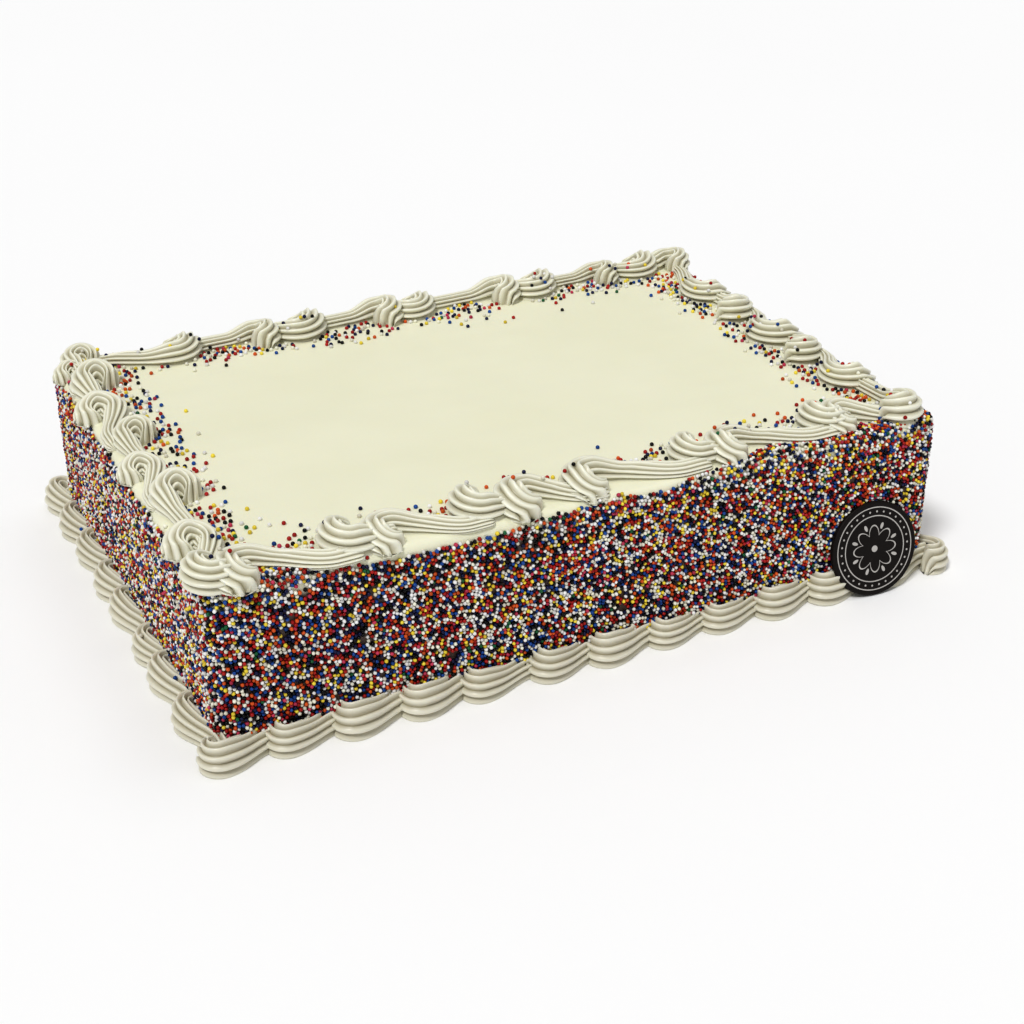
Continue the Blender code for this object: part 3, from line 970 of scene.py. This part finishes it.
def disc():
    """The chocolate disc, bevelled on both rims and leaning on the front wall."""
    bm = bmesh.new()
    bmesh.ops.create_cone(bm, cap_ends=True, segments=DISC_SIDES, radius1=DISC_RADIUS,
                          radius2=DISC_RADIUS, depth=DISC_THICKNESS)
    flats = [face for face in bm.faces if len(face.verts) == DISC_SIDES]
    rims = [edge for face in flats for edge in face.edges]
    bmesh.ops.bevel(bm, geom=rims, offset=DISC_RIM, segments=DISC_RIM_SEGMENTS, profile=0.5,
                    affect="EDGES", material=-1)
    front = max(bm.faces, key=lambda face: face.calc_center_median().z)
    bmesh.ops.inset_region(bm, faces=[front], thickness=DISC_FRAME)
    local = [vert.co.copy() for vert in bm.verts]
    bmesh.ops.translate(bm, vec=(0, DISC_RADIUS, -DISC_THICKNESS / 2), verts=bm.verts)
    lean = Matrix.Rotation(math.pi / 2 - DISC_LEAN, 4, "X")
    yaw = Matrix.Rotation(DISC_YAW, 4, "Z")
    foot = Matrix.Translation((DISC_X, DISC_FOOT_Y, DISC_THICKNESS * math.sin(DISC_LEAN)))
    bmesh.ops.transform(bm, matrix=foot @ yaw @ lean, verts=bm.verts)
    piece = finished(bm, "chocolate_disc", printed_chocolate(), "medallion")
    attribute = piece.data.attributes.new("disc_place", "FLOAT_VECTOR", "POINT")
    flat = [(co.x / DISC_RADIUS, co.y / DISC_RADIUS, 0.0 if co.z > 0 else 1.0) for co in local]
    attribute.data.foreach_set("vector", np.array(flat, dtype=np.float32).ravel())


def floor():
    bm = bmesh.new()
    bmesh.ops.create_grid(bm, x_segments=1, y_segments=1, size=FLOOR_HALF)
    mesh = bpy.data.meshes.new("floor")
    bm.to_mesh(mesh)
    bm.free()
    mesh.materials.append(floor_paint())
    ground = bpy.data.objects.new("floor", mesh)
    bpy.context.scene.collection.objects.link(ground)


def lights():
    """A white world and two suns."""
    world = bpy.data.worlds.new("studio")
    world.use_nodes = True
    background = world.node_tree.nodes["Background"]
    background.inputs["Color"].default_value = (1.0, 1.0, 1.0, 1.0)
    background.inputs["Strength"].default_value = WORLD_STRENGTH
    bpy.context.scene.world = world
    for name, spot, power, spread in SUNS:
        lamp = bpy.data.lights.new(name, "SUN")
        lamp.energy = power
        lamp.angle = math.radians(spread)
        holder = bpy.data.objects.new(name, lamp)
        holder.location = spot
        holder.rotation_euler = Vector(spot).to_track_quat("Z", "Y").to_euler()
        bpy.context.scene.collection.objects.link(holder)


def camera():
    """The photo's camera, fitted to the cake's edges, and the picture's contrast."""
    lens = bpy.data.cameras.new("camera")
    lens.lens = CAMERA_LENS
    lens.sensor_width = CAMERA_FILM
    lens.clip_start = CAMERA_NEAR
    holder = bpy.data.objects.new("camera", lens)
    back = Vector((math.sin(CAMERA_AZIMUTH) * math.cos(CAMERA_DOWN),
                   -math.cos(CAMERA_AZIMUTH) * math.cos(CAMERA_DOWN), math.sin(CAMERA_DOWN)))
    holder.rotation_euler = back.to_track_quat("Z", "Y").to_euler()
    holder.location = CAMERA_PLACE
    bpy.context.scene.collection.objects.link(holder)
    bpy.context.scene.camera = holder
    bpy.context.scene.view_settings.view_transform = "Standard"
    bpy.context.scene.view_settings.look = "Medium High Contrast"


def tree_of(pieces):
    """A ray-casting tree of several pieces."""
    bm = bmesh.new()
    for piece in pieces:
        bm.from_mesh(piece.data)
    tree = BVHTree.FromBMesh(bm)
    bm.free()
    return tree


iced = finished(block(), "iced_block", spread_icing(), "cake")
upper = border("top_shells", top_spots(), HEIGHT, "top_border",
               piped_icing("piped_icing", TOP_GROOVE_SHADE_AND_CREST))
# The foot's icing is the top's made darker all over, painted shade
lower = border("foot_shells", foot_spots(), 0.0, "bottom_border",
               piped_icing("shaded_foot_icing", FOOT_SHADED_GROOVE_AND_CREST), lowest=0.0)
sprinkles(tree_of([iced] + upper), tree_of(lower))
disc()
floor()
lights()
camera()
